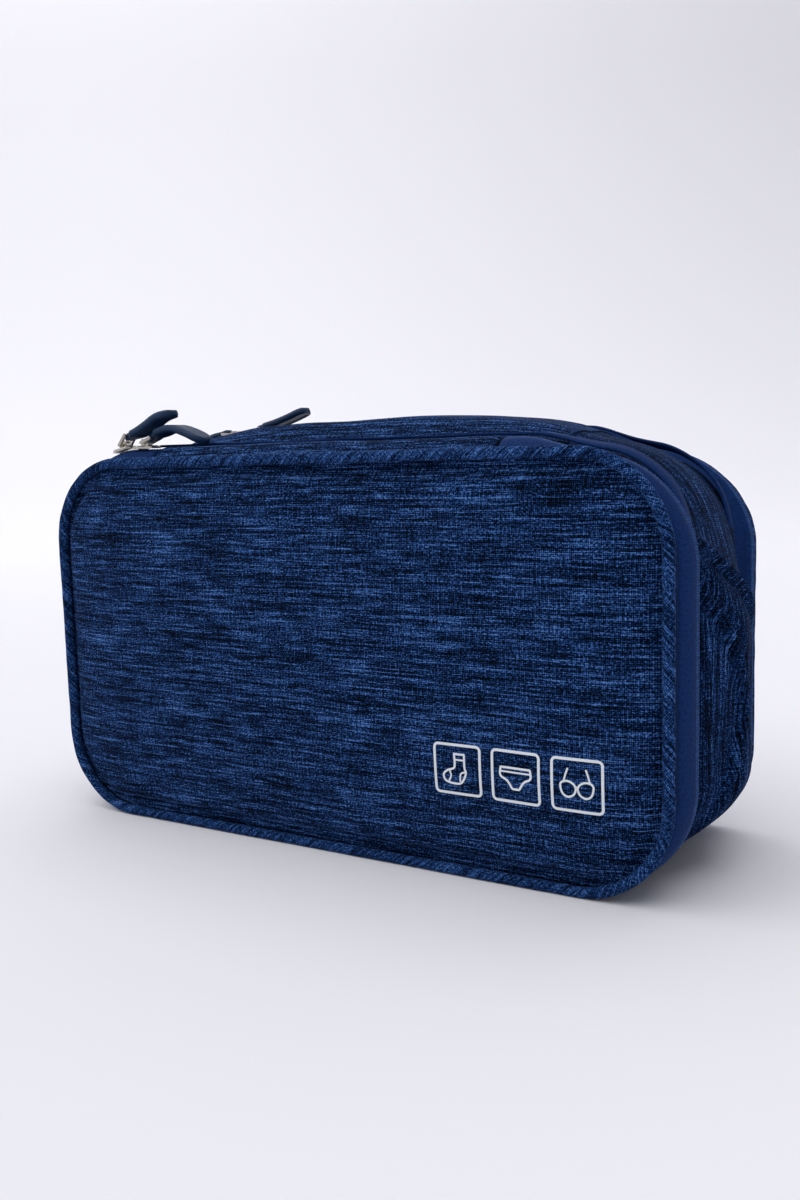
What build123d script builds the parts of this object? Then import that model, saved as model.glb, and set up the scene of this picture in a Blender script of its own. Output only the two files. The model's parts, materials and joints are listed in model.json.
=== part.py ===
"""Two-compartment zipped travel organiser.

A soft case with a fabric gusset all round, a padded lid on the front and one on the rear. Each lid hangs
from a fabric hinge strip on top and closes with a coil zipper that has two sliders with rubber pulls.

Frame: X to the right, Y from the front lid to the rear lid, Z up. The origin is on the floor, under the
middle of the case. Millimetres.

A "loop" is a rounded rectangle in an upright plane across Y. Every ring of the case is drawn by loops
that grow or shrink from the lid seam. "Depth" is the distance inwards from the nearer lid seam.
"""

import os
from dataclasses import dataclass
from math import cos, radians, sin

from build123d import *

os.makedirs("parts", exist_ok=True)

# ---------------------------------------------------------------- driving dimensions
seam_width = 275.0  # across the lid seam
seam_height = 149.0  # lid seam, bottom to top
seam_corner = 35.5  # corner radius of the lid seam
seam_spacing = 90.0  # from the front lid seam to the rear one
crest_drop = 1.5  # the zipper's crest below the lid seam, at the bottom

fabric = 0.8  # lining cloth
gusset_wall = 2.0  # cloth, foam and lining
tape_wall = 1.2
strip_wall = 1.6
lid_padding = 4.4  # the padded panel stands this far in front of the lining
panel_edge = 2.6  # rounding of the padded panel's edge
piping_width = 4.2
piping_round = 1.6
joint_gap = 0.3  # clear space between soft pieces that part
floor_trim = 0.3  # the gusset's base is pressed flat by this much

lid_tape_depth = 10.0
coil_width = 1.4
coil_proud = 0.3  # the coil stands over its tape
body_tape_depth = 4.3
stop_length = 3.0
stop_height = 0.3

crest_side = 3.0  # how far the zipper's crest stands out beyond the seam at the sides
valley_side = -1.0  # where the tape meets the gusset, at the sides
crown_radius = 60.0  # top corners of the gusset at mid-depth
crown_side = -0.5
front_crown = 14.0  # height of the gusset's crown over the lid seam, nearer the front
rear_crown = 15.0

top_seam_left = -86.0  # the gusset's cross seams
top_seam_right = 90.0

divider_thickness = 2.4
partition_thickness = 1.6
partition_height = 92.0
partition_spread = 90.0  # between the two partitions
binding_width = 6.0
binding_thickness = 1.0

slider_length = 11.0
slider_width = 8.6
slider_plate = 1.2
slider_lift = 0.3  # over the coil
crown_length = 4.6
crown_width = 2.6
crown_height = 2.9
bail_wire = 1.2
bail_play = 0.3  # round the wire, in the crown and in the pull
bail_reach = 5.4  # from the crown's hole to the pull's hole
bail_span = 6.6  # across the wires' centres
pull_length = 27.0
pull_width = 10.6
pull_thickness = 3.0
neck_width = 4.6
neck_length = 5.0
pull_recess = 0.5
pull_rim = 1.8

tab_length = 22.0
tab_width = 10.6
tab_thickness = 2.4
tab_bearing = 50.0  # place on the right top corner, from straight up
tab_lift = 14.0  # how far the tab's free end stands off the gusset, degrees
tab_stand = 2.0  # from the gusset to the middle of the tab's thickness, at its root

print_size = 18.6
print_pitch = 22.6
print_line = 0.8
print_height = 0.15
print_right = 106.0  # middle of the right pictogram
print_level = 39.0  # middle of the pictograms over the seam's bottom

# ---------------------------------------------------------------- derived values
half_spacing = seam_spacing / 2
seam_base = crest_drop
seam_top = seam_base + seam_height
corner_x = seam_width / 2 - seam_corner
lid_tape_start = fabric - 0.2
lid_tape_end = lid_tape_start + lid_tape_depth
lid_coil_end = lid_tape_end + coil_width
body_coil_start = lid_coil_end + joint_gap
body_tape_start = body_coil_start + coil_width
gusset_start = body_tape_start + body_tape_depth
zip_centre = (lid_coil_end + body_coil_start) / 2


@dataclass
class Side:
    """One lid's own values. sign is -1 for the front and +1 for the rear."""

    name: str
    sign: int
    crest_rise: float  # the crest over the lid seam, on top
    valley_rise: float  # the gusset's edge over the lid seam, on top
    hinge_left: float
    hinge_right: float
    slider_gap: float  # between the two sliders, along the zipper
    corner_angle: float  # the other slider's place on the corner, from straight up

    def y(self, depth):
        """The Y of a plane at a depth from this side's lid seam."""
        return self.sign * (half_spacing - depth)

    def crest(self, less=0.0):
        """Growth of the loop at the zipper's crest: side, rise and drop."""
        return crest_side - less, self.crest_rise - less, crest_drop - less


front = Side("front", -1, 5.5, 4.5, -87.0, 72.0, 1.2, 11.0)
rear = Side("rear", 1, 9.0, 8.0, -80.0, 72.0, 0.5, 1.0)
made = {}


def keep(part, label):
    """Label a finished piece, write it and remember it."""
    part.label = label
    export_step(part, f"parts/{label}.step")
    made[label] = part


def loop(y, side, rise, drop, top_radius=None):
    """A rounded rectangle in the plane at y: the lid seam grown by side, rise and drop."""
    width = seam_width + 2 * side
    height = seam_height + rise + drop
    radius = seam_corner + side
    with BuildSketch(Plane.XZ.offset(-y)) as outline:
        with Locations((0, seam_base - drop + height / 2)):
            Rectangle(width, height)
        ends = outline.vertices().group_by(Axis.Y)
        fillet(ends[0], radius)
        fillet(outline.vertices().group_by(Axis.Y)[-1], top_radius or radius)
    return outline.sketch


def filled(stations, shrink=0.0):
    """A solid through loops. Each station is y, side, rise, drop and top radius."""
    with BuildPart() as solid:
        for y, side, rise, drop, radius in stations:
            add(loop(y, side - shrink, rise - shrink, drop - shrink, radius and radius - shrink))
        loft(ruled=len(stations) == 2)
    return solid.part


def ring(stations, wall):
    """A tube with its outside through the stations."""
    with BuildPart() as tube:
        add(filled(stations))
        add(filled(stations, wall), mode=Mode.SUBTRACT)
    return tube.part


def slab(x_range, y_range, z_range):
    """A box from low and high values."""
    with BuildPart() as block:
        spans = [high - low for low, high in (x_range, y_range, z_range)]
        with Locations(tuple((low + high) / 2 for low, high in (x_range, y_range, z_range))):
            Box(*spans)
    return block.part


def both(side, start, end):
    """The Y range between two depths of a side, low first."""
    return tuple(sorted((side.y(start), side.y(end))))


wide = (-seam_width, seam_width)
tall = (-seam_height, 2 * seam_height)
upper = (seam_top - seam_corner, 2 * seam_height)
deep = (-seam_spacing, seam_spacing)


def hinge_zone(side, margin=0.0):
    """The space over the top that the hinge strip keeps."""
    return slab((side.hinge_left - margin, side.hinge_right + margin), deep, upper)


def cut(part, tool, label):
    """A piece with a tool taken away."""
    with BuildPart() as piece:
        add(part)
        add(tool, mode=Mode.SUBTRACT)
    keep(piece.part, label)


def common(part, tool, label):
    """What a piece shares with a tool."""
    with BuildPart() as piece:
        add(part)
        add(tool, mode=Mode.INTERSECT)
    keep(piece.part, label)


# ---------------------------------------------------------------- gusset and inner walls
def gusset_stations():
    """The gusset's outside, from the front valley over the crown to the rear valley."""
    base = crest_drop + floor_trim
    corner = seam_corner + valley_side
    span = seam_spacing - 2 * gusset_start
    return [
        (front.y(gusset_start), valley_side, front.valley_rise, base, corner),
        (front.y(gusset_start + span / 3), crown_side, front_crown, base, crown_radius),
        (front.y(gusset_start + 2 * span / 3), crown_side, rear_crown, base, crown_radius),
        (rear.y(gusset_start), valley_side, rear.valley_rise, base, corner),
    ]


cavity = filled(gusset_stations(), gusset_wall)
with BuildPart() as gusset:
    add(ring(gusset_stations(), gusset_wall))
    add(slab(wide, deep, (-seam_height, 0)), mode=Mode.SUBTRACT)
top_zone = slab((top_seam_left, top_seam_right), deep, upper)
common(gusset.part, top_zone, "gusset_top")
cut(gusset.part, top_zone, "gusset_sides")

half_divider = divider_thickness / 2
common(cavity, slab(wide, (-half_divider, half_divider), tall), "middle_divider")

partition_end = rear.y(gusset_start + binding_width + 1)
for label, at in (("left", -partition_spread / 2), ("right", partition_spread / 2)):
    half = partition_thickness / 2
    wall = slab((at - half, at + half), (half_divider, partition_end), (0, partition_height))
    common(cavity, wall, f"cell_partition_{label}")

binding = ring(
    [(y, side - gusset_wall, rise - gusset_wall, drop - gusset_wall, radius - gusset_wall)
     for y, side, rise, drop, radius in gusset_stations()],
    binding_thickness,
)
for side in (front, rear):
    edge = slab(wide, both(side, gusset_start, gusset_start + binding_width), tall)
    common(binding, edge, f"{side.name}_seam_binding")


# ---------------------------------------------------------------- zipper halves and lids
def lid_tape_stations(side):
    """The lid's half of the band, from the lid seam out to the crest."""
    seam = (side.y(lid_tape_start), -0.2, -0.2, -0.2, None)
    return [seam, (side.y(lid_tape_end), *side.crest(coil_proud), None)]


def body_tape_stations(side, proud=0.0):
    """The case's half, from the crest down to the gusset."""
    low = (valley_side + proud, side.valley_rise + proud, crest_drop + proud, None)
    crest = side.crest(coil_proud - proud)
    return [(side.y(body_tape_start), *crest, None), (side.y(gusset_start), *low)]


def hinge_strip(side):
    """The fabric strip on top: it rises to the crest, then falls to the gusset."""
    start = lid_tape_start + joint_gap
    slope = (side.crest_rise - coil_proud) / (lid_tape_end - lid_tape_start)
    rise = slope * joint_gap
    with BuildPart() as strip:
        add(ring([(side.y(start), 0, rise, 0, None), (side.y(body_tape_start),
            *side.crest(coil_proud), None)], strip_wall))
        add(ring(body_tape_stations(side), strip_wall))
        add(hinge_zone(side), mode=Mode.INTERSECT)
    keep(strip.part, f"{side.name}_hinge_strip")


def coil(side, start, label, margin):
    """Half of the coil: a square cord round the crest."""
    stations = [(side.y(d), *side.crest(), None) for d in (start, start + coil_width)]
    cut(ring(stations, coil_width), hinge_zone(side, margin), label)


def piping(side):
    """The covered cord round the lid."""
    outside = [(side.y(d), 0, 0, 0, None) for d in (-0.2, -0.2 - piping_width)]
    with BuildPart() as cord:
        add(ring(outside, piping_width))
        edges = cord.edges().filter_by(lambda e: abs(e.tangent_at(0.5).Y) < 0.5)
        fillet(edges, piping_round)
    keep(cord.part, f"{side.name}_piping")


def lid_panel(side):
    """The padded face of the lid, inside the piping."""
    back = side.y(-0.2)
    face = side.y(-0.2 - lid_padding)
    with BuildPart() as panel:
        add(filled([(y, -piping_width, -piping_width, -piping_width, None) for y in (back, face)]))
        outer = panel.faces().sort_by(Axis.Y)[0 if side.sign < 0 else -1]
        fillet(outer.edges(), panel_edge)
    keep(panel.part, f"{side.name}_lid_panel")


def lid_lining(side):
    """The cloth behind the panel. The panel, the piping and the tape are sewn to its edge."""
    with BuildPart() as lining:
        add(filled([(side.y(d), -0.2, -0.2, -0.2, None) for d in (-0.2, lid_tape_start)]))
    keep(lining.part, f"{side.name}_lid_lining")


def end_stops(side):
    """A sewn stop at each end of the zipper, on the case's half."""
    raised = ring(body_tape_stations(side, stop_height), stop_height)
    with BuildPart() as stops:
        for low in (side.hinge_left - stop_length, side.hinge_right):
            add(slab((low, low + stop_length), deep, upper))
        add(raised, mode=Mode.INTERSECT)
    keep(stops.part, f"{side.name}_zip_stops")


for side in (front, rear):
    hinge_strip(side)
    lid_panel(side)
    lid_lining(side)
    piping(side)
    cut(ring(lid_tape_stations(side), tape_wall), hinge_zone(side, joint_gap), f"{side.name}_lid_tape")
    coil(side, lid_tape_end, f"{side.name}_lid_coil", joint_gap)
    coil(side, body_coil_start, f"{side.name}_body_coil", 0)
    cut(ring(body_tape_stations(side), tape_wall), hinge_zone(side), f"{side.name}_body_tape")
    end_stops(side)


# ---------------------------------------------------------------- printed pictograms
def pictogram_plane():
    """The front lid's face, X to the right and Z up."""
    return Plane.XZ.offset(-front.y(-0.2 - lid_padding))


def frame_ring():
    """A rounded square outline."""
    RectangleRounded(print_size, print_size, print_size / 6)
    inner = print_size - 2 * print_line
    RectangleRounded(inner, inner, print_size / 6 - print_line, mode=Mode.SUBTRACT)


def sock():
    """A sock: leg and foot."""
    with Locations((1.2, 2.0)):
        RectangleRounded(5.0, 10.0, 0.8)
    with Locations((-0.8, -3.6)):
        RectangleRounded(9.0, 4.6, 2.2)


def briefs():
    """Briefs: a trapezium with two leg curves."""
    Polygon((-6.2, 3.6), (-6.0, 0.6), (-1.8, -4.4), (1.8, -4.4), (6.0, 0.6), (6.2, 3.6), align=None)


def bra():
    """A bra: two cups, a band and two straps."""
    with Locations((-3.2, -0.8), (3.2, -0.8)):
        Circle(2.9)
    with Locations((0, -2.4)):
        Rectangle(12.6, 1.6)
    with Locations((-4.6, 2.6), (4.6, 2.6)):
        Rectangle(0.8, 5.2)


for label, mark, place in (("sock", sock, -2), ("briefs", briefs, -1), ("bra", bra, 0)):
    with BuildSketch(pictogram_plane()) as ink:
        with Locations((print_right + place * print_pitch, seam_base + print_level)):
            frame_ring()
            mark()
    with BuildPart() as printed:
        extrude(ink.sketch, amount=print_height)
    keep(printed.part, f"print_{label}")


# ---------------------------------------------------------------- sliders, bails and pulls
def corner_centre(side):
    """Centre of the crest's left top corner, in X and Z."""
    radius = seam_corner + crest_side
    return -corner_x, seam_top + side.crest_rise - radius


def straight_slider_x(side):
    """Middle of the slider on the straight: half of each slider's length and the gap after the other."""
    turn = radians(side.corner_angle)
    other_x = -corner_x - (seam_corner + crest_side) * sin(turn)
    return other_x + slider_length * (1 + cos(turn)) / 2 + side.slider_gap


def crest_plane(side, x, turn):
    """A plane on the crest's outside: X along the zipper to the right, Z outwards, turned about Y."""
    outwards = (-sin(radians(turn)), 0, cos(radians(turn)))
    along = (cos(radians(turn)), 0, sin(radians(turn)))
    if turn:
        cx, cz = corner_centre(side)
        radius = seam_corner + crest_side
        foot = (cx + outwards[0] * radius, side.y(zip_centre), cz + outwards[2] * radius)
    else:
        foot = (x, side.y(zip_centre), seam_top + side.crest_rise)
    return Plane(origin=foot, x_dir=along, z_dir=outwards)


hole_radius = bail_wire / 2 + bail_play
hole_level = slider_lift + slider_plate + crown_height - hole_radius - 0.7


def upright(base, y=0.0):
    """The plane through a slider that faces across the zipper: X along the zipper and Y outwards."""
    return Plane(origin=base.origin + base.y_dir * y, x_dir=base.x_dir, z_dir=-base.y_dir)


def slider(base, label):
    """The slider's plate with its crown, pierced for the bail."""
    side_on = upright(base, crown_width / 2)
    with BuildPart() as body:
        with BuildSketch(base.offset(slider_lift)):
            RectangleRounded(slider_length, slider_width, slider_width * 0.35)
        extrude(amount=slider_plate)
        chamfer(body.faces().sort_by(Axis(base.origin, base.z_dir))[-1].edges(), slider_plate * 0.35)
        with BuildSketch(side_on):
            with Locations((0, slider_lift + slider_plate + crown_height / 2 - 0.1)):
                RectangleRounded(crown_length, crown_height + 0.2, 1.2)
            with Locations((0, hole_level)):
                Circle(hole_radius, mode=Mode.SUBTRACT)
        extrude(amount=crown_width)
    keep(body.part, label)


def bail(base, lean, label):
    """A closed wire loop through the crown. lean is its angle over the zipper."""
    pin = base.origin + base.z_dir * hole_level
    reach = base.x_dir * cos(radians(lean)) + base.z_dir * sin(radians(lean))
    flat = Plane(origin=pin, x_dir=reach, z_dir=reach.cross(base.y_dir))
    with BuildPart() as wire:
        with BuildSketch(flat.offset(-bail_wire / 2)):
            with Locations((bail_reach / 2, 0)):
                Rectangle(bail_reach + bail_wire, bail_span + bail_wire)
                Rectangle(bail_reach - bail_wire, bail_span - bail_wire, mode=Mode.SUBTRACT)
        extrude(amount=bail_wire)
        fillet(wire.edges().filter_by(Axis((0, 0, 0), base.y_dir)), bail_wire * 0.4)
    keep(wire.part, label)
    return pin + reach * bail_reach


def pull(pin, base, lean, label):
    """A rubber pull at an angle of lean over the zipper: a neck and a round-ended body, both faces recessed."""
    along = base.x_dir * cos(radians(lean)) + base.z_dir * sin(radians(lean))
    flat = Plane(origin=pin, x_dir=along, z_dir=along.cross(base.y_dir))
    neck_start = -hole_radius - pull_rim
    half = pull_thickness / 2
    recess = pull_width - 2 * pull_rim
    with BuildPart() as strap:
        with BuildSketch(flat.offset(-half)):
            with Locations(((neck_start + neck_length + pull_rim) / 2, 0)):
                RectangleRounded(neck_length + pull_rim - neck_start, neck_width, neck_width * 0.4)
            with Locations(((pull_length + neck_length) / 2, 0)):
                SlotOverall(pull_length - neck_length, pull_width)
        extrude(amount=pull_thickness)
        with BuildSketch(flat.offset(half - pull_recess), flat.offset(-half)):
            with Locations(((pull_length + neck_length) / 2, 0)):
                SlotOverall(pull_length - neck_length - 2 * pull_rim, recess)
        extrude(amount=pull_recess, mode=Mode.SUBTRACT)
        with BuildSketch(Plane(origin=pin - base.y_dir * pull_width, x_dir=along, z_dir=base.y_dir)):
            Circle(hole_radius)
        extrude(amount=2 * pull_width, mode=Mode.SUBTRACT)
    keep(strap.part, label)


def report_joint(name, point, axis):
    """Print a joint's place, in millimetres."""
    print(f"{name}: at {[round(v, 4) for v in point]} axis {[round(v, 4) for v in axis]}")


# name, side, x on the straight (or None), turn on the corner, bail lean, pull lean
sliders = [
    ("front_slider_left", front, front.corner_angle, 40.0, 9.0),
    ("front_slider_right", front, 0.0, 20.0, 14.0),
    ("rear_slider_left", rear, rear.corner_angle, 176.0, 197.0),
    ("rear_slider_right", rear, 0.0, 26.0, 14.0),
]
for name, side, turn, bail_lean, pull_lean in sliders:
    base = crest_plane(side, straight_slider_x(side), turn)
    slider(base, name)
    pull_pin = bail(base, bail_lean, f"{name}_bail")
    pull(pull_pin, base, pull_lean, f"{name}_pull")
    report_joint(f"{name} bail", base.origin + base.z_dir * hole_level, base.y_dir)
    report_joint(f"{name} pull", pull_pin, base.y_dir)

for side in (front, rear):
    cx, cz = corner_centre(side)
    report_joint(f"{side.name} corner", (cx, side.y(zip_centre), cz), (0, 1, 0))
    report_joint(f"{side.name} lid", (0, side.y(0), seam_top + side.crest_rise), (1, 0, 0))

# ---------------------------------------------------------------- grab tab
# A folded rubber tab sewn into the seam behind the front zipper, on the right top corner.
tab_out = Vector(sin(radians(tab_bearing)), 0, cos(radians(tab_bearing)))
tab_across = Vector(cos(radians(tab_bearing)), 0, -sin(radians(tab_bearing)))
tab_radius = seam_corner + valley_side
tab_centre = Vector(corner_x, 0, seam_top + front.valley_rise - tab_radius)
tab_root = tab_centre + tab_out * (tab_radius + tab_stand) + Vector(0, front.y(gusset_start), 0)
tab_along = Vector(0, cos(radians(tab_lift)), 0) + tab_out * sin(radians(tab_lift))
tab_flat = Plane(origin=tab_root, x_dir=tab_along, z_dir=tab_along.cross(tab_across))
with BuildPart() as tab:
    with BuildSketch(tab_flat.offset(-tab_thickness / 2)):
        with Locations((tab_length / 2, 0)):
            SlotOverall(tab_length, tab_width)
    extrude(amount=tab_thickness)
    with BuildSketch(tab_flat.offset(-tab_thickness / 2)):
        with Locations((tab_length / 2, 0)):
            SlotOverall(tab_length - 2 * pull_rim, tab_width - 2 * pull_rim)
    extrude(amount=pull_recess, mode=Mode.SUBTRACT)
keep(tab.part, "grab_tab")
report_joint("grab_tab", tab_root, tab_across)
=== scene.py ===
# %% [markdown]
# # A two-compartment travel organiser
#
# A soft case stands on its gusset. It has a padded lid on the front and one on the rear, and each lid closes
# with a coil zipper. This lesson builds every visible piece as a surface worked out with numpy, on the frame
# that the CAD model gives.

# %% The frame
import json

import bmesh
import bpy
import numpy as np
from mathutils import Euler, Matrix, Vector


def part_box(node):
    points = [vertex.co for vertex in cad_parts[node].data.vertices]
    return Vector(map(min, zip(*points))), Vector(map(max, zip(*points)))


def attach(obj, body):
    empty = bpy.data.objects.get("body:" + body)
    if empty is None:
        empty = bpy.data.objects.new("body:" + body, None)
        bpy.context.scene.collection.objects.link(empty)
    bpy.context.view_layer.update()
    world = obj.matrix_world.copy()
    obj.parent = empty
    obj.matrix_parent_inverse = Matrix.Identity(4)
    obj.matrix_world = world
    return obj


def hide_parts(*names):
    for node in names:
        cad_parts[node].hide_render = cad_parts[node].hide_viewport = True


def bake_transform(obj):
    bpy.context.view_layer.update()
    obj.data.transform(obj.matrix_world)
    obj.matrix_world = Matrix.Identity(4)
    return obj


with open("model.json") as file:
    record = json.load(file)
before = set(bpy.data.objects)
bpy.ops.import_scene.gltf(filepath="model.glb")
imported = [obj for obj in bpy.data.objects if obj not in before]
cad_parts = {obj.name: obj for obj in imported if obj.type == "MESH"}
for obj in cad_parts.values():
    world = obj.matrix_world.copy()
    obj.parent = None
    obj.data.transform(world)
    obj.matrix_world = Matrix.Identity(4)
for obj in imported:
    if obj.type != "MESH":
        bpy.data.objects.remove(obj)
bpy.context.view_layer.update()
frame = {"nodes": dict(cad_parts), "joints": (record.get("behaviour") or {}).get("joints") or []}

# %% [markdown]
# ## The seam loop
#
# Every ring of the case follows the lid's seam, a rounded rectangle. A rounded rectangle is a small core
# rectangle plus a radius along the outward normal. Along a straight the core point moves and the normal
# stands still. Round a corner the normal turns and the core point stands still. So both are plain
# interpolations of the distance walked, and no corner needs code of its own.

# %% Sizes read from the frame
MM = 0.001
CORNER = 35.5 * MM
piping_low, piping_high = (np.array(c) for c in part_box("front_piping"))
HALF_WIDTH = piping_high[0]
SEAM_BASE, SEAM_TOP = piping_low[2], piping_high[2]
SEAM_MIDDLE = (SEAM_BASE + SEAM_TOP) / 2
CORE_X = HALF_WIDTH - CORNER
CORE_Z = (SEAM_TOP - SEAM_BASE) / 2 - CORNER
PIPING = (piping_high[1] - piping_low[1]) / 2
PIPING_GAP = 0.2 * MM  # between the seam and the piping
SEAM_Y = -piping_high[1] - PIPING_GAP
ARC = CORNER * np.pi / 2
steps = [CORE_X, ARC, 2 * CORE_Z, ARC, 2 * CORE_X, ARC, 2 * CORE_Z, ARC, CORE_X]
KNOTS = np.concatenate([[0], np.cumsum(steps)])
LENGTH = KNOTS[-1]
print(f"seam {2000 * HALF_WIDTH:.1f} x {1000 * (SEAM_TOP - SEAM_BASE):.1f} mm, round {1000 * LENGTH:.0f} mm")


# %% The loop as a function of distance
def loop(walk, side=0.0, rise=0.0, drop=0.0):
    """Points (x, z) and normals of the seam loop, by distance from the top's middle, clockwise from the front.

    The loop is grown by side at the sides, rise on top and drop at the bottom: the core rectangle moves by
    the difference from side, and the radius is the corner's plus side.
    """
    walk = np.mod(walk, LENGTH)
    turns = np.radians([0, 0, 90, 90, 180, 180, 270, 270, 360, 360])
    angle = np.interp(walk, KNOTS, turns)
    core_x = CORE_X * np.interp(walk, KNOTS, [0, 1, 1, 1, 1, -1, -1, -1, -1, 0])
    top = np.interp(walk, KNOTS, [1, 1, 1, 0, 0, 0, 0, 1, 1, 1])
    core_z = CORE_Z * (2 * top - 1) + top * (rise - side) - (1 - top) * (drop - side)
    normal = np.stack([np.sin(angle), np.cos(angle)], -1)
    radius = CORNER + side
    x = core_x + radius * normal[..., 0]
    z = SEAM_MIDDLE + core_z + radius * normal[..., 1]
    return x, z, normal


def settle(points):
    """Lets the right top corner slump, as it does where nothing is packed under it.

    The drop grows along X from 78 to 108 mm and fades below the corner. Across the case it is nothing at
    the front lid, most at the rear zipper's crest, and small over the middle of the gusset.
    """
    x, y, z = np.moveaxis(points, -1, 0)
    across = np.array([-45, -34, -27, -8, 10, 27, 34, 45]) * MM
    drop = np.interp(y, across, np.array([0, 6, 6, 2, 3, 9, 9.5, 5]) * MM)
    share = smooth(x, 78 * MM, 108 * MM) * smooth(z, SEAM_MIDDLE - 10 * MM, SEAM_TOP - 12 * MM)
    return np.stack([x, y, z - drop * share], -1)


def edge_distance(x, z):
    """Distance from the seam loop inwards: how far a point is inside the rounded rectangle."""
    dx = np.abs(x) - CORE_X
    dz = np.abs(z - SEAM_MIDDLE) - CORE_Z
    outside = np.hypot(np.maximum(dx, 0), np.maximum(dz, 0)) + np.minimum(np.maximum(dx, dz), 0)
    return CORNER - outside


def smooth(value, low, high):
    """A smooth step: 0 below low, 1 above high, and a cubic between them."""
    t = np.clip((value - low) / (high - low), 0, 1)
    return t * t * (3 - 2 * t)


def ripple(a, b, seed, length, waves=14):
    """Soft unevenness between about -1 and 1: a sum of sine waves of random direction and phase."""
    rng = np.random.default_rng(seed)
    total = np.zeros(np.broadcast(a, b).shape)
    for _ in range(waves):
        turn, phase = rng.uniform(0, 2 * np.pi, 2)
        size = length * rng.uniform(0.6, 1.7)
        total += np.sin((a * np.cos(turn) + b * np.sin(turn)) * 2 * np.pi / size + phase)
    return total / np.sqrt(waves)


# %% A grid of points becomes a piece
def face_grid(rows, columns, wrap_rows, wrap_columns):
    """Corners of each cell as (row, column) pairs, before wrapping."""
    r = np.arange(rows if wrap_rows else rows - 1)
    c = np.arange(columns if wrap_columns else columns - 1)
    r, c = (g.ravel() for g in np.meshgrid(r, c, indexing="ij"))
    return np.stack([r, r, r + 1, r + 1], 1), np.stack([c, c + 1, c + 1, c], 1)


def new_piece(name, points, faces, uv):
    """A smooth mesh object with its faces outwards. uv is the cloth's own map, one pair per face corner."""
    mesh = bpy.data.meshes.new(name)
    mesh.from_pydata(points.reshape(-1, 3), [], faces)
    mesh.uv_layers.new(name="cloth").data.foreach_set("uv", uv.reshape(-1).astype(np.float32))
    mesh.polygons.foreach_set("use_smooth", np.ones(len(faces), bool))
    piece = bpy.data.objects.new(name, mesh)
    bpy.context.scene.collection.objects.link(piece)
    tidy_mesh(piece)
    return piece


def grid_piece(name, points, along=None, across=None, wrap=(False, False), fold_ends=False):
    """A mesh object from points[row, column]. along and across are the cloth's own lengths for its UV map.

    fold_ends closes the first and last rows of a wrapped profile by joining column k to its mirror.
    """
    rows, columns = points.shape[:2]
    row, column = face_grid(rows, columns, *wrap)
    faces = (row % rows) * columns + column % columns
    if along is None:
        along = np.linspace(0, 1, rows + wrap[0])
    if across is None:
        across = np.linspace(0, 1, columns + wrap[1])
    uv = np.stack([along[np.minimum(row, len(along) - 1)], across[np.minimum(column, len(across) - 1)]], -1)
    if fold_ends:
        k = np.arange(columns // 2 - 1)
        mirror = columns - 1 - k
        for at, flip in ((0, False), (rows - 1, True)):
            quad = np.stack([k, mirror, mirror - 1, k + 1], 1) + at * columns
            faces = np.concatenate([faces, quad[:, ::-1] if flip else quad])
            flat = np.zeros((*quad.shape, 2)) + [along[min(at, len(along) - 1)], 0]
            uv = np.concatenate([uv, flat])
    return new_piece(name, points, faces, uv)


def tidy_mesh(piece, fill=False):
    """Turns the faces outwards. With fill, each open ring of edges is closed by a face first."""
    work = bmesh.new()
    work.from_mesh(piece.data)
    if fill:
        open_edges = [edge for edge in work.edges if edge.is_boundary]
        bmesh.ops.holes_fill(work, edges=open_edges, sides=0)
    bmesh.ops.recalc_face_normals(work, faces=work.faces)
    work.to_mesh(piece.data)
    work.free()


def surface_normals(points):
    """Unit normals of a grid of points: the cross product of its two gradients."""
    n = np.cross(np.gradient(points, axis=0), np.gradient(points, axis=1))
    return n / np.maximum(np.linalg.norm(n, axis=-1, keepdims=True), 1e-12)


# %% [markdown]
# ## Materials
#
# The cloth is a cationic melange: a plain polyester weave whose yarns take the dye unevenly, so bright and
# dark slubs run along the weft. An image texture could show it, but it would repeat over a panel this large.
# Noise stretched along the weft never repeats, and each layer stands for one fault of real yarn: long slubs,
# short specks, and the few stray ends that run the other way. Real threads are about 0.3 mm apart, too fine to
# show here, so the weave is drawn coarser. All cloth reads its own UV map in metres, so the weave and the
# slubs follow the cut of each piece, and the bias-cut piping turns the same weave by 45 degrees.

# %% Colour and node helpers
def linear(code):
    """An sRGB hex colour as linear RGBA: the standard curve, channel by channel."""
    c = np.array([int(code[k:k + 2], 16) for k in (1, 3, 5)]) / 255
    low, high = c / 12.92, ((c + 0.055) / 1.055) ** 2.4
    return (*np.where(c <= 0.04045, low, high), 1.0)


def add_node(tree, kind, inputs=None, **settings):
    """Adds a node. inputs maps a socket's name or number to a value or to another node's output socket."""
    node = tree.nodes.new(kind)
    for key, value in settings.items():
        setattr(node, key, value)
    for key, value in (inputs or {}).items():
        if isinstance(value, bpy.types.NodeSocket):
            tree.links.new(value, node.inputs[key])
        else:
            node.inputs[key].default_value = value
    return node


def new_material(name, constants):
    """A material with an empty tree, its output, and its shader with its constants set."""
    material = bpy.data.materials.new(name)
    material.use_nodes = True
    tree = material.node_tree
    tree.nodes.clear()
    shader = add_node(tree, "ShaderNodeBsdfPrincipled", constants)
    add_node(tree, "ShaderNodeOutputMaterial", {"Surface": shader.outputs[0]})
    return material, tree, shader


def in_millimetres(tree, coordinates, turn=0.0):
    """Object or UV coordinates in millimetres, turned by an angle in degrees."""
    source = add_node(tree, "ShaderNodeTexCoord").outputs[coordinates]
    return add_node(tree, "ShaderNodeMapping", {"Vector": source, "Rotation": (0, 0, np.radians(turn)),
                                                "Scale": (1000, 1000, 1000)}).outputs[0]


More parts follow.
